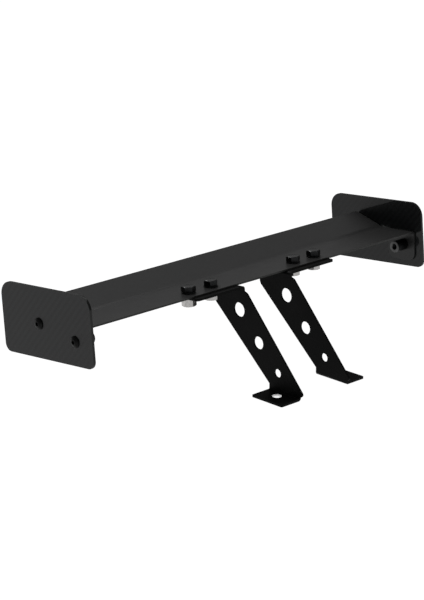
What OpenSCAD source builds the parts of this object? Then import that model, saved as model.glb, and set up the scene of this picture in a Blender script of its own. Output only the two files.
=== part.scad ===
// Racing rear wing: a folded sheet blade between two end plates, bolted to two bent brackets.
// Millimetres. The span runs along X, the leading edge faces -Y and +Z is up.
// The origin is midway between the two foot holes, on the underside of the feet.
// "u" and "w" are along and square to the blade's front part, from the end plates' centre;
// "v" and "n" are along and square to the kicked-up rear part of the blade.

/* [Wing] */
// Length over the outer faces of the end plates
span = 522; // [440:2:640]
// Distance of the end plates' centre behind the foot holes
wing_back = 132.6; // [131:0.1:134]
// Height of the end plates' centre above the underside of the feet
wing_height = 101.1; // [100.5:0.1:102.5]
// Slope of the blade's front part, falling towards the rear, in degrees
wing_pitch = 4.437; // [4.351, 4.437]

/* [End plates] */
// Length of an end plate
plate_length = 143.8; // [142:0.2:156]
// Nose-up tilt of an end plate against the blade's front part, in degrees
plate_tilt = 1.36; // [0:0.02:2]
// Height of an end plate
plate_height = 78; // [77:0.5:88]
// Thickness of an end plate
plate_t = 3; // [2:0.5:4]
// Radius of an end plate's two upper corners
plate_top_r = 16; // [6:1:20]
// Radius of an end plate's two lower corners
plate_bottom_r = 9; // [5:1:14]

/* [Blade] */
// Thickness of the blade's sheet
blade_t = 2; // [1.5:0.5:2.5]
// Place of the blade's front edge
blade_front_u = -62; // [-63:0.5:-60]
// Place where the blade's fold begins
fold_u = -15.5; // [-17:0.5:-13]
// Height of the front part's upper surface
blade_w = 6; // [5:0.2:7]
// Angle by which the rear part kicks up, in degrees
kick = 18.5; // [16:0.5:22]
// Length of the kicked-up rear part
rear_length = 41; // [37:0.5:43]
// Inner radius of the fold along the span
fold_r = 16; // [8:1:18]
// Inner radius of the bends of the end tabs
tab_bend_r = 2; // [1:0.5:3]
// Depth of the front end tabs below the blade's upper surface
front_tab_depth = 36.5; // [30:0.5:38]
// Depth of the rear end tabs, square to the rear part
rear_tab_depth = 23; // [21:0.5:26]

/* [Brackets] */
// Distance from the middle of the wing to the inner face of a bracket's web
web_x = 36; // [34:0.5:38]
// Thickness of a bracket
bracket_t = 2.5; // [2:0.5:3]
// Inner radius of a bracket's two bends
bracket_bend_r = 1; // [0.5:0.5:4]
// Distance from the middle of the wing to the outer end of a top flange
flange_reach = 108; // [107:1:116]
// Place of a top flange's front edge
flange_front_u = -69.5; // [-71:0.5:-68]
// Place of a top flange's rear edge
flange_rear_u = -24.5; // [-27:0.5:-24]
// Distance from the middle of the wing to the outer edge of a foot
foot_reach = 66; // [63:0.5:70]
// Front edge of a foot, ahead of its hole
foot_front = 23.7; // [22:0.1:25]
// Rear edge of a foot, behind its hole
foot_rear = 21.8; // [20:0.1:23]
// Diameter of the top hole in a web
web_top_hole_d = 16.6; // [8:0.1:20]
// Diameter of the middle hole in a web
web_middle_hole_d = 14.8; // [8:0.1:18]
// Diameter of the bottom hole in a web
web_bottom_hole_d = 10; // [4:0.1:14]

/* [Mounting and fasteners] */
// Distance between the two foot holes
foot_spacing = 98; // [96:0.5:101]
// Diameter of a foot hole, clearance for a 3/8 inch bolt
foot_hole_d = 10.5; // [10.4:0.1:12]
// Distance of the inner blade bolts from the middle of the wing
bolt_inner_x = 65; // [60:0.5:70]
// Distance of the outer blade bolts from the middle of the wing
bolt_outer_x = 98.5; // [90:0.5:99]
// Place of the row of blade bolts
bolt_u = -46; // [-48:0.5:-44]
// Length of a blade bolt below its head
bolt_length = 17; // [16:1:24]
// Length of an end plate screw below its head
screw_length = 16; // [12:1:18]
// Length of a sleeve nut
sleeve_length = 17; // [14:1:24]

/* [Hidden] */
$fn = 64;
SIDES = ["left", "right"];
ROWS = ["inner", "outer"];
ENDS = ["front", "rear"];

// More than any solid is thick, for cutters that pass right through
through = 30;
// Inner faces of the end plates, which the end tabs lie against
tab_x = span / 2 - plate_t;
// Length of blade lost to a tab's bend
tab_bend = tab_bend_r + blade_t;
// Upper face of the top flanges, which the blade lies on
flange_w = blade_w - blade_t;
// Front and rear limits of the tabs, along u in front and along v behind
front_tab = [blade_front_u + 0.5, -21];
rear_tab = [4, 40];
// Radii of the tabs' two lower corners
front_tab_r = 10;
rear_tab_r = 8;
// How far a bend's straight ends run into the flat sheet next to it
bend_lap = 0.5;

// 3/8 inch hex bolt, small washer and hex nut
bolt_d = 9.5;
bolt_hex = 14.3;
bolt_head_h = 6.2;
blade_hole_d = 10.5;
washer_d = 16;
washer_hole_d = 10;
washer_t = 1.6;
nut_h = 10.3;
nut_bore_d = 9.7;
// M6 button-head screw and its sleeve nut
m6_d = 6;
screw_hole_d = 6.6;
screw_head_d = 13;
screw_head_h = 3.3;
screw_rim_h = 0.8;
screw_socket = 4;
screw_socket_depth = 2;
sleeve_d = 13.6;
sleeve_bore_d = 6.2;
sleeve_chamfer = 1;

// Places of the end screws: the front one by u and w, the rear one by v and n
front_screw = [-45, -11.4];
rear_screw = [19, -14.8];

// Corners of the web's outline: along Y, up Z, corner radius
web_front_top = [58.6, 102.9, 3.5];
web_front_knee = [-28.8, 7.1, 3];
web_rear_top = [113.5, 90, 8];
web_rear_knee = [foot_rear, 8.7, 0];
// Height of the web strip under a top flange's bend, which the web's slanted part runs into
web_strip = 3;
// How far inside the strip's ends the slanted part's outline stays
web_strip_inset = [3, 2];
// The three web holes, from the top one down: along Y, up Z, diameter
web_holes = [
    [69.7, 81.8, web_top_hole_d],
    [39.5, 50.7, web_middle_hole_d],
    [9.8, 23.2, web_bottom_hole_d]
];
foot_corner_r = 2;
flange_corner_r = 4;

function unit(v) = v / norm(v);
function turned(v, n) = [v * cos(kick) - n * sin(kick), v * sin(kick) + n * cos(kick)];
// u and w of a point given along and square to the rear part's upper surface
function on_rear(v, n) = [fold_u, blade_w + fold_r] + turned(v, n - fold_r);
// World Y and Z of a point given by u and w
function in_world(u, w) = [
    wing_back + u * cos(wing_pitch) + w * sin(wing_pitch),
    wing_height - u * sin(wing_pitch) + w * cos(wing_pitch)
];
function screw_place(end) = end == "front" ? front_screw : on_rear(rear_screw[0], rear_screw[1]);

// Polygon with a true arc at each corner that has a radius: corners are [x, y, radius]
module rounded_polygon(corners) {
    count = len(corners);
    xy = [for (c = corners) [c[0], c[1]]];
    rounds = [
        for (i = [0 : count - 1])
            let (
                at = xy[i],
                before = unit(xy[(i + count - 1) % count] - at),
                after = unit(xy[(i + 1) % count] - at),
                half = acos(before * after) / 2,
                r = corners[i][2],
                centre = at + unit(before + after) * r / sin(half)
            )
            [at + before * r / tan(half), centre, at + after * r / tan(half), r]
    ];
    polygon([for (k = rounds) each k[3] > 0 ? [k[0], k[1], k[2]] : [k[1]]]);
    for (k = rounds)
        if (k[3] > 0)
            translate(k[1])
                circle(k[3]);
}

// Places children along and square to the blade's front part, at the end plates' centre
module wing_frame() {
    translate([0, wing_back, wing_height])
        rotate([-wing_pitch, 0, 0])
            children();
}

// Places children along and square to the kicked-up rear part
module rear_frame() {
    translate([0, fold_u, blade_w + fold_r])
        rotate([kick, 0, 0])
            translate([0, 0, -fold_r])
                children();
}

// Mirrors what is drawn for the right side when the side is "left"
module on_side(side) {
    mirror([side == "left" ? 1 : 0, 0, 0])
        children();
}

// Places children on an end screw's axis, pointing inwards from "start" inside the outer face
module screw_axis(end, start) {
    place = screw_place(end);
    translate([span / 2 - start, place[0], place[1]])
        rotate([0, -90, 0])
            children();
}

module screw_hole(end) {
    screw_axis(end, -through)
        cylinder(h = 2 * through, d = screw_hole_d);
}

// Turns a flat outline in Y and Z into a sheet from x0 to x0 + length
module along_x(x0, length) {
    translate([x0, 0, 0])
        rotate([90, 0, 90])
            linear_extrude(length)
                children();
}

// Quarter bend of a sheet in X and Y, from its outer corner at 0, 0, with a straight stretch
// of leg_x after it along +X and of leg_y along +Y
module bend_section(t, inner_r, leg_x, leg_y) {
    outer_r = inner_r + t;
    translate([outer_r, 0])
        square([leg_x, t]);
    translate([0, outer_r])
        square([t, leg_y]);
    intersection() {
        square(outer_r);
        translate([outer_r, outer_r])
            difference() {
                circle(outer_r);
                circle(inner_r);
            }
    }
}

// Outline of the blade across the span: front part, fold and kicked-up rear part
module blade_section() {
    translate([blade_front_u, blade_w - blade_t])
        square([fold_u - blade_front_u, blade_t]);
    translate([fold_u, blade_w + fold_r]) {
        intersection() {
            difference() {
                circle(fold_r + blade_t);
                circle(fold_r);
            }
            polygon([[0, 0], [0, -2 * through], turned(0, -2 * through)]);
        }
        rotate(kick)
            translate([0, -fold_r - blade_t])
                square([rear_length, blade_t]);
    }
}

// End tab folded down from the blade's right end, drawn from v = 0 along +Y
module end_tab(length, depth, corner_r) {
    translate([tab_x, length, 0])
        rotate([90, 0, 0])
            linear_extrude(length)
                rotate(180)
                    bend_section(blade_t, tab_bend_r, bend_lap, bend_lap);
    along_x(tab_x - blade_t, blade_t)
        rounded_polygon([
            [0, -tab_bend, 0],
            [0, -depth, corner_r],
            [length, -depth, corner_r],
            [length, -tab_bend, 0]
        ]);
}

module wing_blade() {
    color("dimgray")
        wing_frame()
            difference() {
                union() {
                    along_x(-tab_x + tab_bend, 2 * (tab_x - tab_bend))
                        blade_section();
                    for (side = SIDES)
                        on_side(side) {
                            translate([0, front_tab[0], blade_w])
                                end_tab(front_tab[1] - front_tab[0], front_tab_depth, front_tab_r);
                            rear_frame()
                                translate([0, rear_tab[0], 0])
                                    end_tab(rear_tab[1] - rear_tab[0], rear_tab_depth, rear_tab_r);
                        }
                }
                for (side = SIDES)
                    on_side(side) {
                        for (x = [bolt_inner_x, bolt_outer_x])
                            translate([x, bolt_u, -through])
                                cylinder(h = 2 * through, d = blade_hole_d);
                        for (end = ENDS)
                            screw_hole(end);
                    }
            }
}

module end_plate(side) {
    half_l = plate_length / 2;
    half_h = plate_height / 2;
    color("black")
        wing_frame()
            on_side(side)
                difference() {
                    along_x(tab_x, plate_t)
                        rotate(-plate_tilt)
                            rounded_polygon([
                                [-half_l, -half_h, plate_bottom_r],
                                [half_l, -half_h, plate_bottom_r],
                                [half_l, half_h, plate_top_r],
                                [-half_l, half_h, plate_top_r]
                            ]);
                    for (end = ENDS)
                        screw_hole(end);
                }
}

// Flat leaf of a bracket beyond its bend, with its two outer corners rounded
module leaf(length, depth, corner_r) {
    rounded_polygon([
        [0, 0, 0],
        [length, 0, corner_r],
        [length, depth, corner_r],
        [0, depth, 0]
    ]);
}

module bracket(side) {
    outer_r = bracket_bend_r + bracket_t;
    foot_depth = foot_front + foot_rear;
    flange_depth = flange_rear_u - flange_front_u;
    strip_w = flange_w - outer_r - web_strip / 2;
    strip_front = in_world(flange_front_u + web_strip_inset[0], strip_w);
    strip_rear = in_world(flange_rear_u - web_strip_inset[1], strip_w);
    color("black")
        on_side(side)
            difference() {
                union() {
                    along_x(web_x, bracket_t)
                        rounded_polygon([
                            [-foot_front, outer_r, 0],
                            [foot_rear, outer_r, 0],
                            web_rear_knee,
                            web_rear_top,
                            [strip_rear[0], strip_rear[1], 0],
                            [strip_front[0], strip_front[1], 0],
                            web_front_top,
                            web_front_knee
                        ]);
                    translate([web_x, foot_rear, 0])
                        rotate([90, 0, 0])
                            linear_extrude(foot_depth)
                                bend_section(bracket_t, bracket_bend_r, bend_lap, bend_lap);
                    translate([web_x + outer_r, -foot_front, 0])
                        linear_extrude(bracket_t)
                            leaf(foot_reach - web_x - outer_r, foot_depth, foot_corner_r);
                    wing_frame()
                        translate([web_x, flange_rear_u, flange_w]) {
                            rotate([90, 0, 0])
                                linear_extrude(flange_depth)
                                    mirror([0, 1])
                                        bend_section(bracket_t, bracket_bend_r, bend_lap, web_strip);
                            translate([outer_r, -flange_depth, -bracket_t])
                                linear_extrude(bracket_t)
                                    leaf(flange_reach - web_x - outer_r, flange_depth, flange_corner_r);
                        }
                }
                for (hole = web_holes)
                    translate([0, hole[0], hole[1]])
                        rotate([0, 90, 0])
                            cylinder(h = 2 * through, d = hole[2]);
                translate([foot_spacing / 2, 0, -through])
                    cylinder(h = 2 * through, d = foot_hole_d);
                wing_frame()
                    for (x = [bolt_inner_x, bolt_outer_x])
                        translate([x, bolt_u, -through])
                            cylinder(h = 2 * through, d = blade_hole_d);
            }
}

// Places children on a blade bolt's axis, with Z = 0 on the blade's upper surface
module bolt_axis(side, row) {
    wing_frame()
        on_side(side)
            translate([row == "inner" ? bolt_inner_x : bolt_outer_x, bolt_u, blade_w])
                children();
}

// Hexagonal prism with a chamfered upper rim
module hexagon(across, height) {
    corner_r = across / 2 / cos(30);
    face_r = 0.47 * across;
    rim_drop = (corner_r - face_r) * tan(30);
    intersection() {
        cylinder(h = height, r = corner_r, $fn = 6);
        rotate_extrude()
            polygon([
                [0, 0],
                [corner_r + 1, 0],
                [corner_r + 1, height - rim_drop - tan(30)],
                [face_r, height],
                [0, height]
            ]);
    }
}

// Round shank from Z = 0 down to -length, with a chamfered end
module shank(d, length) {
    chamfer = d / 10;
    rotate_extrude()
        polygon([
            [0, -length],
            [d / 2 - chamfer, -length],
            [d / 2, chamfer - length],
            [d / 2, 0],
            [0, 0]
        ]);
}

module hex_bolt(side, row) {
    color("black")
        bolt_axis(side, row)
            translate([0, 0, washer_t]) {
                hexagon(bolt_hex, bolt_head_h);
                shank(bolt_d, bolt_length);
            }
}

module washer(side, row) {
    color("black")
        bolt_axis(side, row)
            difference() {
                cylinder(h = washer_t, d = washer_d);
                translate([0, 0, -1])
                    cylinder(h = washer_t + 2, d = washer_hole_d);
            }
}

module hex_nut(side, row) {
    color("silver")
        bolt_axis(side, row)
            translate([0, 0, -blade_t - bracket_t])
                mirror([0, 0, 1])
                    difference() {
                        hexagon(bolt_hex, nut_h);
                        translate([0, 0, -1])
                            cylinder(h = nut_h + 2, d = nut_bore_d);
                    }
}

module plate_screw(side, end) {
    dome_rise = screw_head_h - screw_rim_h;
    dome_r = (pow(screw_head_d / 2, 2) + pow(dome_rise, 2)) / (2 * dome_rise);
    color("black")
        wing_frame()
            on_side(side)
                screw_axis(end, 0)
                    mirror([0, 0, 1]) {
                        difference() {
                            intersection() {
                                cylinder(h = screw_head_h, d = screw_head_d);
                                translate([0, 0, screw_head_h - dome_r])
                                    sphere(dome_r);
                            }
                            translate([0, 0, screw_head_h - screw_socket_depth])
                                cylinder(h = screw_head_h, r = screw_socket / 2 / cos(30), $fn = 6);
                        }
                        shank(m6_d, screw_length);
                    }
}

module sleeve_nut(side, end) {
    outer_r = sleeve_d / 2;
    bore_r = sleeve_bore_d / 2;
    color("dimgray")
        wing_frame()
            on_side(side)
                screw_axis(end, plate_t + blade_t)
                    rotate_extrude()
                        polygon([
                            [bore_r, 0],
                            [outer_r, 0],
                            [outer_r, sleeve_length - sleeve_chamfer],
                            [outer_r - sleeve_chamfer, sleeve_length],
                            [bore_r + sleeve_chamfer, sleeve_length],
                            [bore_r, sleeve_length - sleeve_chamfer]
                        ]);
}

wing_blade();
for (side = SIDES) {
    end_plate(side);
    bracket(side);
    for (row = ROWS) {
        hex_bolt(side, row);
        washer(side, row);
        hex_nut(side, row);
    }
    for (end = ENDS) {
        plate_screw(side, end);
        sleeve_nut(side, end);
    }
}
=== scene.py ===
"""Looks of a racing rear wing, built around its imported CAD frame. Units are metres."""

import math

import bmesh
import bpy
from mathutils import Matrix, Vector


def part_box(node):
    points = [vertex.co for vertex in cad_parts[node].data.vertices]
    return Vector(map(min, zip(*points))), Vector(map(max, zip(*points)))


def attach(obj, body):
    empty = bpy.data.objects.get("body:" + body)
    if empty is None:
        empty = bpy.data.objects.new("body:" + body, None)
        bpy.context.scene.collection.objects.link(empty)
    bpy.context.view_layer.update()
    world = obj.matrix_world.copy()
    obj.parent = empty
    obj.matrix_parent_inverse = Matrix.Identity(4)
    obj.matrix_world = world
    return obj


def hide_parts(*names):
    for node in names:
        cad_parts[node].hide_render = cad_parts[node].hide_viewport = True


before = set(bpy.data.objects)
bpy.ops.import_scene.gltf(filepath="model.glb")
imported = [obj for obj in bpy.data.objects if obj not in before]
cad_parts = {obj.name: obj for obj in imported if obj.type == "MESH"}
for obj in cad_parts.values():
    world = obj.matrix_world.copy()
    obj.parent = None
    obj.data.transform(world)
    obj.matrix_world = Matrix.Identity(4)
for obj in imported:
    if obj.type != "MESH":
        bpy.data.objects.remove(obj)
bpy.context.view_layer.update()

MM = 0.001
SIDES = ("left", "right")
ROWS = ("inner", "outer")
ENDS = ("front", "rear")

# The wing's own slope, falling towards the rear, and the end plates' slope, which is a little more
WING_PITCH = math.radians(4.437)
PLATE_TILT = math.radians(1.36)
PLATE_PITCH = WING_PITCH + PLATE_TILT

# 3/8 inch bolts and hex nuts
HEX_ACROSS = 14.3 * MM
BOLT_HEAD_H = 6.2 * MM
BOLT_LENGTH = 17 * MM
BOLT_R = 4.75 * MM
BOLT_PITCH = 1.5875 * MM
WASHER_T = 1.6 * MM
WASHER_R = 8 * MM
WASHER_HOLE_R = 5 * MM
NUT_H = 10.3 * MM
NUT_BORE_R = 4.85 * MM
# Sheet thicknesses between washer and nut: blade and bracket flange
CLAMPED_T = 4.5 * MM
# Rounding of a hexagon's corners, radius of its chamfered face, and the blend at the chamfer's edge
HEX_CORNER_R = 0.35 * MM
HEX_FACE_R = 0.47 * HEX_ACROSS
HEX_BLEND = 0.12 * MM

# How far each bolt head and nut happens to be turned on its axis, in degrees
BOLT_TURNS = {"left": {"inner": 43, "outer": 16}, "right": {"inner": 31, "outer": 23}}
NUT_TURNS = {"left": {"inner": 21, "outer": 44}, "right": {"inner": 17, "outer": 17}}

# M6 button-head screws and sleeve nuts
M6_R = 3 * MM
M6_PITCH = 1.0 * MM
SCREW_HEAD_R = 6.5 * MM
SCREW_HEAD_H = 3.3 * MM
SCREW_RIM_H = 0.8 * MM
SCREW_SOCKET = 4 * MM
SCREW_SOCKET_DEPTH = 2 * MM
SCREW_LENGTH = 16 * MM
SLEEVE_R = 6.8 * MM
SLEEVE_BORE_R = 3.1 * MM
SLEEVE_LENGTH = 17 * MM

# Foot holes: distance from the middle plane, and a radius and height that take in their walls, which get
# painted light
FOOT_HOLE_X = 49 * MM
FOOT_WALL_R = 5.35 * MM
FOOT_WALL_TOP = 3 * MM

# The range in which most of a noise texture's values lie
NOISE_LOW, NOISE_HIGH = 0.3, 0.7

# Edges sharper than this stay sharp on the fasteners, and are rounded on the sheet parts
FASTENER_SHARP_ANGLE = math.radians(32)
SHEET_SHARP_ANGLE = math.radians(30)
BEVEL_SEGMENTS = 3
WELD_DISTANCE = 0.002 * MM

FLOOR_HALF_WIDTH = 14
FLOOR_Z = -0.05 * MM
FLOOR_GLOW = 1.02
WORLD_GLOW = 0.23


# ---------------------------------------------------------------- node helpers


class Nodes:
    """A short way to build one material's node tree."""

    def __init__(self, name):
        self.material = bpy.data.materials.new(name)
        self.material.use_nodes = True
        self.tree = self.material.node_tree
        self.shader = self.tree.nodes["Principled BSDF"]

    def add(self, kind, **settings):
        node = self.tree.nodes.new(kind)
        for key, value in settings.items():
            setattr(node, key, value)
        return node

    def link(self, source, target):
        self.tree.links.new(source, target)

    def fill(self, socket, value):
        """Links a socket, or sets it where the value is a plain number or vector."""
        if isinstance(value, bpy.types.NodeSocket):
            self.link(value, socket)
        else:
            socket.default_value = value

    def math(self, operation, a, b=0.0):
        node = self.add("ShaderNodeMath", operation=operation)
        for socket, value in zip(node.inputs, (a, b)):
            self.fill(socket, value)
        return node.outputs[0]

    def position(self):
        """Place on the object in metres, which is the CAD frame's own place at rest."""
        return self.add("ShaderNodeTexCoord").outputs["Object"]

    def noise(self, scale, detail, roughness=0.5, vector=None):
        node = self.add("ShaderNodeTexNoise")
        self.fill(node.inputs["Vector"], vector or self.position())
        node.inputs["Scale"].default_value = scale
        node.inputs["Detail"].default_value = detail
        node.inputs["Roughness"].default_value = roughness
        return node.outputs["Fac"]

    def remap(self, value, low, high, to_low, to_high):
        """Maps the range low..high onto to_low..to_high."""
        node = self.add("ShaderNodeMapRange")
        node.inputs["From Min"].default_value = low
        node.inputs["From Max"].default_value = high
        node.inputs["To Min"].default_value = to_low
        node.inputs["To Max"].default_value = to_high
        self.link(value, node.inputs["Value"])
        return node.outputs["Result"]

    def spread(self, value, to_low, to_high):
        """Maps the usual range of a noise onto to_low..to_high."""
        return self.remap(value, NOISE_LOW, NOISE_HIGH, to_low, to_high)

    def mix(self, factor, a, b):
        node = self.add("ShaderNodeMix", data_type="RGBA")
        self.fill(node.inputs["Factor"], factor)
        self.fill(node.inputs["A"], a)
        self.fill(node.inputs["B"], b)
        return node.outputs["Result"]

    def bump(self, height, distance, strength, under=None):
        node = self.add("ShaderNodeBump")
        node.inputs["Distance"].default_value = distance
        node.inputs["Strength"].default_value = strength
        self.link(height, node.inputs["Height"])
        if under:
            self.link(under, node.inputs["Normal"])
        return node.outputs["Normal"]


def grey(value, warmth=0.0):
    """A near-neutral colour: warmth above 0 is yellower, below 0 is bluer."""
    return (value * (1 + warmth), value, value * (1 - warmth), 1)


# ---------------------------------------------------------------- materials


def coated_sheet(name, dark, light, rough, grain_mm, grain_depth_mm, specular, overlay=None):
    """Baked satin coating: fine grain, soft mottling, orange peel. An overlay may recolour it."""
    n = Nodes(name)
    mottle = n.noise(38, detail=4, roughness=0.6)
    fine = n.noise(1 / (grain_mm * MM), detail=3, roughness=0.65)
    tone = n.math("ADD", n.math("MULTIPLY", mottle, 0.45), n.math("MULTIPLY", fine, 0.55))
    coat = n.mix(n.spread(tone, 0, 1), dark, light)
    if overlay:
        coat = overlay(n, coat)
    n.link(coat, n.shader.inputs["Base Color"])
    n.link(n.spread(tone, rough + 0.06, rough - 0.06), n.shader.inputs["Roughness"])
    peel = n.bump(n.noise(330, detail=1), 0.05 * MM, 0.5)
    n.link(n.bump(fine, grain_depth_mm * MM, 0.8, under=peel), n.shader.inputs["Normal"])
    n.shader.inputs["Specular IOR Level"].default_value = specular
    return n.material


def hole_walls_painted_light(n, coat):
    """The coat's colour, but painted light on the walls of the two foot holes: near white, standing in
    for the bright floor seen through them.
    """
    # Painted light: near white, standing in for the bright floor seen through the holes
    bare = grey(0.85)
    axes = n.add("ShaderNodeSeparateXYZ")
    n.link(n.position(), axes.inputs["Vector"])
    from_hole = n.math("SUBTRACT", n.math("ABSOLUTE", axes.outputs["X"]), FOOT_HOLE_X)
    across = n.math("MULTIPLY", from_hole, from_hole)
    along = n.math("POWER", axes.outputs["Y"], 2)
    in_hole = n.math("LESS_THAN", n.math("ADD", across, along), FOOT_WALL_R**2)
    low_down = n.math("LESS_THAN", axes.outputs["Z"], FOOT_WALL_TOP)
    return n.mix(n.math("MULTIPLY", in_hole, low_down), coat, bare)


def carbon_twill():
    """Two-by-two twill cloth under a clear gloss resin, with painted sheen on the upper tows and painted
    shade between tows; cut edges show the layers.
    """
    tow = 2.2 * MM
    ply = 0.25 * MM
    n = Nodes("carbon_twill")
    turn = n.add("ShaderNodeVectorRotate", rotation_type="X_AXIS")
    n.link(n.position(), turn.inputs["Vector"])
    turn.inputs["Angle"].default_value = PLATE_PITCH
    axes = n.add("ShaderNodeSeparateXYZ")
    n.link(turn.outputs["Vector"], axes.inputs["Vector"])
    across = n.math("DIVIDE", axes.outputs["Y"], tow)
    up = n.math("DIVIDE", axes.outputs["Z"], tow)
    step = n.math("ADD", n.math("FLOOR", across), n.math("FLOOR", up))
    on_top = n.math("LESS_THAN", n.math("FLOORED_MODULO", step, 4), 2)
    crown_across = n.math("SINE", n.math("MULTIPLY", n.math("FRACT", across), math.pi))
    crown_up = n.math("SINE", n.math("MULTIPLY", n.math("FRACT", up), math.pi))
    tow_height = n.add("ShaderNodeMix", data_type="FLOAT")
    n.link(on_top, tow_height.inputs["Factor"])
    n.link(crown_up, tow_height.inputs["A"])
    n.link(crown_across, tow_height.inputs["B"])
    height = tow_height.outputs["Result"]
    threads = n.noise(2600, detail=2, vector=turn.outputs["Vector"])
    # Painted sheen: the tows on top are lighter than those beneath, standing in for the fibres catching
    # light in one direction
    cloth = n.mix(on_top, grey(0.0035, -0.06), grey(0.0065, -0.06))
    cloth = n.mix(n.spread(threads, 0, 0.2), cloth, grey(0.014, -0.05))
    # Painted shade: darker where each tow dips at its edges, in the grooves between tows
    cloth = n.mix(n.remap(height, 0, 0.5, 0.3, 0), cloth, grey(0.002))
    # Cut edges: thin layers along the plate's thickness
    normal = n.add("ShaderNodeNewGeometry")
    facing = n.add("ShaderNodeSeparateXYZ")
    n.link(normal.outputs["True Normal"], facing.inputs["Vector"])
    is_edge = n.math("LESS_THAN", n.math("ABSOLUTE", facing.outputs["X"]), 0.3)
    layer = n.math("FRACT", n.math("DIVIDE", axes.outputs["X"], ply))
    layers = n.mix(n.remap(layer, 0.35, 0.65, 0, 1), grey(0.002), grey(0.004))
    n.link(n.mix(is_edge, cloth, layers), n.shader.inputs["Base Color"])
    n.link(n.bump(height, 0.04 * MM, 0.4), n.shader.inputs["Normal"])
    n.link(n.spread(threads, 0.34, 0.5), n.shader.inputs["Roughness"])
    n.shader.inputs["Specular IOR Level"].default_value = 0.08
    n.shader.inputs["Coat Weight"].default_value = 0.28
    n.shader.inputs["Coat Roughness"].default_value = 0.045
    n.shader.inputs["Coat IOR"].default_value = 1.5
    ripple = n.bump(n.noise(55, detail=2), 0.05 * MM, 0.35)
    n.link(ripple, n.shader.inputs["Coat Normal"])
    return n.material


def plated_steel(name, dark, light, rough, scratch_depth_mm):
    """Metal finish on small turned and pressed parts, with cloudy plating and fine tool marks."""
    n = Nodes(name)
    cloud = n.noise(420, detail=4, roughness=0.6)
    fine = n.noise(4200, detail=2)
    n.link(n.mix(n.spread(cloud, 0, 1), dark, light), n.shader.inputs["Base Color"])
    n.link(n.spread(cloud, rough - 0.05, rough + 0.09), n.shader.inputs["Roughness"])
    n.link(n.bump(fine, scratch_depth_mm * MM, 0.6), n.shader.inputs["Normal"])
    n.shader.inputs["Metallic"].default_value = 1.0
    return n.material


BLADE = coated_sheet(
    "blade_satin_black", grey(0.013), grey(0.019), rough=0.36, grain_mm=0.55, grain_depth_mm=0.012,
    specular=0.2
)
BRACKET = coated_sheet(
    "bracket_powder_coat", grey(0.0014), grey(0.0028), rough=0.52, grain_mm=0.8, grain_depth_mm=0.02,
    specular=0.045, overlay=hole_walls_painted_light
)
CARBON = carbon_twill()
BLACK_STEEL = plated_steel("black_oxide_steel", grey(0.012, -0.02), grey(0.022, -0.02), 0.26, 0.004)
ZINC = plated_steel("bright_zinc", grey(0.3, 0.02), grey(0.46, 0.02), 0.24, 0.002)
ANODISED = plated_steel("anodised_sleeve", grey(0.008, -0.03), grey(0.016, -0.03), 0.4, 0.006)
TURNED_END = plated_steel("turned_aluminium_end", grey(0.045), grey(0.08), 0.34, 0.004)
BLACK_BUTTON = plated_steel("black_button_head", grey(0.006), grey(0.012), 0.45, 0.004)


# ---------------------------------------------------------------- mesh helpers


def hexagon_angles():
    """Angles round a hexagon, close together at its rounded corners."""
    offsets = (-30, -22, -15, -8, -4, -2.4, -1.2, 0, 1.2, 2.4, 4, 8, 15, 22)
    return [math.radians(60 * corner + offset) for corner in range(6) for offset in offsets]


HEX_ANGLES = hexagon_angles()
ROUND_ANGLES = [2 * math.pi * i / 72 for i in range(72)]


def hexagon_radius(angle, across, corner_r):
    """Distance from the middle to a rounded hexagon's side at an angle."""
    sector = math.radians(60)
    from_corner = abs((angle + sector / 2) % sector - sector / 2)
    apothem = across / 2
    centre = (apothem - corner_r) / math.cos(sector / 2)
    tangent = math.atan2(corner_r * math.sin(sector / 2), centre + corner_r * math.cos(sector / 2))
    if from_corner > tangent:
        return apothem / math.cos(sector / 2 - from_corner)
    inside = corner_r**2 - (centre * math.sin(from_corner)) ** 2
    return centre * math.cos(from_corner) + math.sqrt(inside)


def add_rings(bm, angles, rings, close_start=False, close_end=False, close_loop=False):
    """Skins a stack of rings; each ring is a function from an angle to (radius, height)."""
    loops = []
    for ring in rings:
        loop = []
        for angle in angles:
            r, z = ring(angle)
            loop.append(bm.verts.new((r * math.cos(angle), r * math.sin(angle), z)))
        loops.append(loop)
    pairs = list(zip(loops, loops[1:]))
    if close_loop:
        pairs.append((loops[-1], loops[0]))
    count = len(angles)
    for lower, upper in pairs:
        for i in range(count):
            j = (i + 1) % count
            bm.faces.new((lower[i], lower[j], upper[j], upper[i]))
    if close_start:
        bm.faces.new(list(reversed(loops[0])))
    if close_end:
        bm.faces.new(loops[-1])


def plain(r, z):
    """A flat round ring."""
    return lambda angle: (r, z)


def hexed(across, corner_r, z):
    """A flat ring along a rounded hexagon."""
    return lambda angle: (hexagon_radius(angle, across, corner_r), z)


def chamfered(across, corner_r, height, face_r, inset):
    """A hexagon's rim where a 30 degree cone cuts it; an inset draws it in, a negative one lowers it."""

    def ring(angle):
        r = hexagon_radius(angle, across, corner_r)
        z = height - max(r - face_r, 0) * math.tan(math.radians(30))
        return (r - max(inset, 0), z - max(-inset, 0))

    return ring


def thread_rings(r, depth, pitch, z_low, z_high):
    """Rings of a true helical thread whose crest is at r and whose root is depth away from it."""
    rings_per_turn = 10

    def ring_at(z):
        def ring(angle):
            turn = (z / pitch - angle / (2 * math.pi)) % 1
            rise = min(max((abs(turn - 0.5) - 0.1) / 0.32, 0), 1)
            return (r - depth * rise, z)

        return ring

    count = max(2, round((z_high - z_low) / pitch * rings_per_turn))
    return [ring_at(z_low + (z_high - z_low) * i / count) for i in range(count + 1)]


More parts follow.
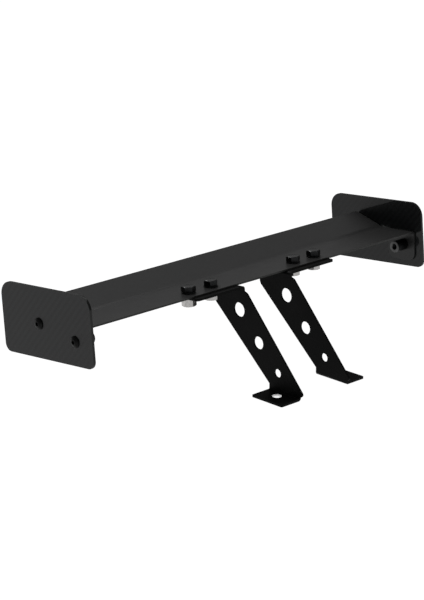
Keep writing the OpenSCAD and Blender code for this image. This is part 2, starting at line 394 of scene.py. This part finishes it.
def hex_flats(height):
    """Rings from the round seat of a hexagon head or nut, up its flats, to its chamfer."""
    seat_h = 0.3 * MM
    return [
        plain(HEX_FACE_R, seat_h),
        hexed(HEX_ACROSS - 0.2 * MM, HEX_CORNER_R, seat_h),
        hexed(HEX_ACROSS, HEX_CORNER_R, seat_h + 0.1 * MM),
        chamfered(HEX_ACROSS, HEX_CORNER_R, height, HEX_FACE_R, -HEX_BLEND),
        chamfered(HEX_ACROSS, HEX_CORNER_R, height, HEX_FACE_R, HEX_BLEND),
    ]


def make_piece(name, bm, place, materials, node):
    """Turns mesh data into a placed, shaded piece that stands in for one CAD node."""
    bmesh.ops.recalc_face_normals(bm, faces=bm.faces)
    mesh = bpy.data.meshes.new(name)
    bm.to_mesh(mesh)
    bm.free()
    mesh.transform(place)
    mesh.shade_smooth()
    mesh.set_sharp_from_angle(angle=FASTENER_SHARP_ANGLE)
    for material in materials:
        mesh.materials.append(material)
    piece = bpy.data.objects.new(name, mesh)
    bpy.context.scene.collection.objects.link(piece)
    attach(piece, "root")
    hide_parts(node)


# ---------------------------------------------------------------- sheet parts


def dress_cad(node, material, width_mm):
    """Gives a CAD node its finish, joins its faces' shared edges and rounds them."""
    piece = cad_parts[node]
    piece.data.materials.clear()
    piece.data.materials.append(material)
    weld = piece.modifiers.new("shared_edges", "WELD")
    weld.merge_threshold = WELD_DISTANCE
    bevel = piece.modifiers.new("edge_rounding", "BEVEL")
    bevel.width = width_mm * MM
    bevel.segments = BEVEL_SEGMENTS
    bevel.limit_method = "ANGLE"
    bevel.angle_limit = SHEET_SHARP_ANGLE
    bevel.use_clamp_overlap = True
    bevel.harden_normals = True


dress_cad("wing_blade", BLADE, 0.35)
for side in SIDES:
    dress_cad(f"end_plate_{side}", CARBON, 0.45)
    dress_cad(f"bracket_{side}", BRACKET, 0.4)


# ---------------------------------------------------------------- fasteners


def axis_place(origin, direction):
    """A matrix that stands local +Z along a direction, at an origin."""
    turn = direction.to_track_quat("Z", "Y").to_matrix().to_4x4()
    return Matrix.Translation(origin) @ turn


def box_centre(node):
    low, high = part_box(node)
    return (low + high) / 2


WING_UP = Vector((0, math.sin(WING_PITCH), math.cos(WING_PITCH)))


def hex_bolt(side, row):
    """Hex-head bolt: washer face, chamfered head and a rolled thread with a pointed end."""
    seat_z = 0.02 * MM
    bm = bmesh.new()
    rings = [plain(BOLT_R, seat_z), plain(0.46 * HEX_ACROSS, seat_z)]
    rings += hex_flats(BOLT_HEAD_H)
    rings += [
        plain(HEX_FACE_R - 0.1 * MM, BOLT_HEAD_H - 0.02 * MM),
        plain(HEX_FACE_R - 0.4 * MM, BOLT_HEAD_H - 0.05 * MM),
        plain(0.32 * HEX_ACROSS, BOLT_HEAD_H - 0.25 * MM),
    ]
    add_rings(bm, HEX_ANGLES, rings, close_end=True)
    depth = 0.6 * BOLT_PITCH
    tip, neck = BOLT_R - depth, BOLT_R - 0.05 * MM
    shank = [plain(tip * 0.96, -BOLT_LENGTH), plain(tip, 0.25 * MM - BOLT_LENGTH)]
    shank += thread_rings(BOLT_R - 0.02 * MM, depth, BOLT_PITCH, 0.45 * MM - BOLT_LENGTH, -3 * MM)
    shank += [plain(neck, -2.6 * MM), plain(neck, seat_z)]
    add_rings(bm, ROUND_ANGLES, shank, close_start=True)
    washer = box_centre(f"washer_{side}_{row}")
    spin = Matrix.Rotation(math.radians(BOLT_TURNS[side][row]), 4, "Z")
    place = axis_place(washer + WING_UP * WASHER_T / 2, WING_UP) @ spin
    node = f"hex_bolt_{side}_{row}"
    make_piece(f"bolt_{side}_{row}", bm, place, (BLACK_STEEL,), node)


def washer(side, row):
    """Plain pressed washer, with one edge rolled over by the punch."""
    bm = bmesh.new()
    half = WASHER_T / 2
    roll = 0.3 * MM
    rings = [
        plain(WASHER_HOLE_R, -half),
        plain(WASHER_R - 0.1 * MM, -half),
        plain(WASHER_R, 0.1 * MM - half),
        plain(WASHER_R, half - roll),
        plain(WASHER_R - 0.3 * roll, half - 0.3 * roll),
        plain(WASHER_R - roll, half),
        plain(WASHER_HOLE_R + 0.15 * MM, half),
        plain(WASHER_HOLE_R, half - 0.15 * MM),
    ]
    add_rings(bm, ROUND_ANGLES, rings, close_loop=True)
    node = f"washer_{side}_{row}"
    place = axis_place(box_centre(node), WING_UP)
    make_piece(f"plain_washer_{side}_{row}", bm, place, (BLACK_STEEL,), node)


def hex_nut(side, row):
    """Hex nut with chamfered corners and countersunk ends to its bore."""
    mouth_h = 0.5 * MM
    bm = bmesh.new()
    rings = [plain(NUT_BORE_R + mouth_h, 0), plain(HEX_FACE_R - 0.1 * MM, 0)]
    rings += hex_flats(NUT_H)
    rings += [
        plain(HEX_FACE_R - 0.15 * MM, NUT_H),
        plain(NUT_BORE_R + 0.65 * MM, NUT_H),
        plain(NUT_BORE_R + 0.1 * MM, NUT_H - mouth_h),
        plain(NUT_BORE_R, NUT_H - 0.9 * MM),
        plain(NUT_BORE_R, mouth_h),
    ]
    add_rings(bm, HEX_ANGLES, rings, close_loop=True)
    seat = box_centre(f"washer_{side}_{row}") - WING_UP * (WASHER_T / 2 + CLAMPED_T)
    spin = Matrix.Rotation(math.radians(NUT_TURNS[side][row]), 4, "Z")
    place = axis_place(seat, -WING_UP) @ spin
    make_piece(f"nut_{side}_{row}", bm, place, (ZINC,), f"hex_nut_{side}_{row}")


def inward(side):
    """Direction from an end plate towards the middle of the wing."""
    return Vector((1 if side == "left" else -1, 0, 0))


def plate_screw(side, end):
    """Button-head screw: domed head with a hexagon socket, and a threaded shank."""
    bm = bmesh.new()
    socket = SCREW_SOCKET
    rise = SCREW_HEAD_H - SCREW_RIM_H
    dome_r = (SCREW_HEAD_R**2 + rise**2) / (2 * rise)
    base = SCREW_HEAD_H - dome_r

    def dome(r):
        return plain(r, base + math.sqrt(dome_r**2 - r**2))

    floor = SCREW_HEAD_H - SCREW_SOCKET_DEPTH
    rings = [
        hexed(0.3 * socket, 0.02 * MM, floor - 0.35 * MM),
        hexed(socket - 0.1 * MM, 0.12 * MM, floor),
        hexed(socket, 0.12 * MM, SCREW_HEAD_H - 0.45 * MM),
        dome(0.68 * socket),
        dome(0.78 * socket),
    ]
    rings += [dome(SCREW_HEAD_R * k) for k in (0.68, 0.78, 0.87, 0.94, 0.985)]
    rings += [
        plain(SCREW_HEAD_R, SCREW_RIM_H),
        plain(SCREW_HEAD_R, 0.2 * MM),
        plain(SCREW_HEAD_R - 0.2 * MM, 0),
        plain(M6_R, 0),
    ]
    add_rings(bm, HEX_ANGLES, rings, close_start=True)
    depth = 0.6 * M6_PITCH
    tip, neck = M6_R - depth, M6_R - 0.05 * MM
    shank = [plain(tip * 0.95, -SCREW_LENGTH), plain(tip, 0.2 * MM - SCREW_LENGTH)]
    shank += thread_rings(M6_R - 0.02 * MM, depth, M6_PITCH, 0.4 * MM - SCREW_LENGTH, -2 * MM)
    shank += [plain(neck, -1.5 * MM), plain(neck, 0)]
    add_rings(bm, ROUND_ANGLES, shank, close_start=True)
    sleeve = box_centre(f"sleeve_nut_{side}_{end}")
    plate_low, plate_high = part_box(f"end_plate_{side}")
    outer_x = plate_low.x if side == "left" else plate_high.x
    place = axis_place(Vector((outer_x, sleeve.y, sleeve.z)), -inward(side))
    node = f"plate_screw_{side}_{end}"
    make_piece(f"screw_{side}_{end}", bm, place, (BLACK_BUTTON,), node)


def sleeve_nut(side, end):
    """Round sleeve with a threaded bore; its turned end face is bare metal."""
    bm = bmesh.new()
    length, r, bore = SLEEVE_LENGTH, SLEEVE_R, SLEEVE_BORE_R
    edge = 0.5 * MM
    outer = [
        plain(bore, 0),
        plain(r - 0.15 * MM, 0),
        plain(r, 0.15 * MM),
        plain(r, length - edge),
        plain(r - 0.3 * edge, length - 0.3 * edge),
        plain(r - edge, length),
        plain(bore + 0.7 * MM, length),
        plain(bore + 0.15 * MM, length - 0.6 * MM),
    ]
    inner = thread_rings(bore, -0.5 * M6_PITCH, M6_PITCH, 2 * MM, length - 1.0 * MM)
    rings = outer + list(reversed(inner)) + [plain(bore, 1.5 * MM)]
    add_rings(bm, ROUND_ANGLES, rings, close_loop=True)
    for face in bm.faces:
        middle = face.calc_center_median()
        on_end = middle.z > length - 0.7 * MM and middle.xy.length > bore + 0.05 * MM
        face.material_index = 1 if on_end and middle.xy.length < r - 0.1 * edge else 0
    node = f"sleeve_nut_{side}_{end}"
    place = axis_place(box_centre(node) - inward(side) * length / 2, inward(side))
    make_piece(f"sleeve_{side}_{end}", bm, place, (ANODISED, TURNED_END), node)


for side in SIDES:
    for row in ROWS:
        hex_bolt(side, row)
        washer(side, row)
        hex_nut(side, row)
    for end in ENDS:
        plate_screw(side, end)
        sleeve_nut(side, end)


# ---------------------------------------------------------------- floor, light and camera


def make_floor():
    """A wide pale floor lit from within, like a light table, so that no shadow shows on it."""
    bm = bmesh.new()
    signs = ((-1, -1), (1, -1), (1, 1), (-1, 1))
    corners = [(x * FLOOR_HALF_WIDTH, y * FLOOR_HALF_WIDTH, FLOOR_Z) for x, y in signs]
    bm.faces.new([bm.verts.new(corner) for corner in corners])
    mesh = bpy.data.meshes.new("floor")
    bm.to_mesh(mesh)
    bm.free()
    n = Nodes("pale_floor")
    n.shader.inputs["Base Color"].default_value = grey(0.04)
    n.shader.inputs["Roughness"].default_value = 0.9
    n.shader.inputs["Specular IOR Level"].default_value = 0.0
    n.shader.inputs["Emission Color"].default_value = grey(1.0)
    n.shader.inputs["Emission Strength"].default_value = FLOOR_GLOW
    mesh.materials.append(n.material)
    floor = bpy.data.objects.new("floor", mesh)
    bpy.context.scene.collection.objects.link(floor)


def make_softbox(name, place, target, size, power):
    """A square area light at a place, turned to a target; metres and watts."""
    light = bpy.data.lights.new(name, "AREA")
    light.shape = "RECTANGLE"
    light.size = size
    light.size_y = size
    light.energy = power
    lamp = bpy.data.objects.new(name, light)
    lamp.location = place
    lamp.rotation_euler = (Vector(target) - Vector(place)).to_track_quat("-Z", "Y").to_euler()
    bpy.context.scene.collection.objects.link(lamp)


def make_world():
    """Plain white light from all round."""
    world = bpy.data.worlds.new("studio")
    world.use_nodes = True
    background = world.node_tree.nodes["Background"]
    background.inputs["Color"].default_value = grey(1.0)
    background.inputs["Strength"].default_value = WORLD_GLOW
    bpy.context.scene.world = world


def make_camera():
    """The viewing angle: in front of the leading edge, to the left, looking slightly down."""
    azimuth, elevation, roll = (math.radians(a) for a in (-44.404, 18.131, 0.357))
    target = Vector((-15.41, 135.78, 72.12)) * MM
    distance = 2431.8 * MM
    lens_mm = 129.396
    back = Vector((
        math.sin(azimuth) * math.cos(elevation),
        -math.cos(azimuth) * math.cos(elevation),
        math.sin(elevation),
    ))
    right = Vector((0, 0, 1)).cross(back).normalized()
    up = back.cross(right)
    side = right * math.cos(roll) + up * math.sin(roll)
    top = up * math.cos(roll) - right * math.sin(roll)
    camera = bpy.data.objects.new("camera", bpy.data.cameras.new("camera"))
    camera.data.lens = lens_mm
    camera.data.clip_end = 100
    turn = Matrix((side, top, back)).transposed().to_4x4()
    camera.matrix_world = Matrix.Translation(target + back * distance) @ turn
    bpy.context.scene.collection.objects.link(camera)
    bpy.context.scene.camera = camera


make_camera()
make_floor()
make_world()
make_softbox("overhead", place=(0.3, 0.5, 2.4), target=(0, 0.1, 0), size=2.6, power=30)
make_softbox("back_top", place=(0.15, 1.7, 1.9), target=(0, 0.1, 0.1), size=0.5, power=22)
bpy.context.scene.view_settings.view_transform = "Standard"
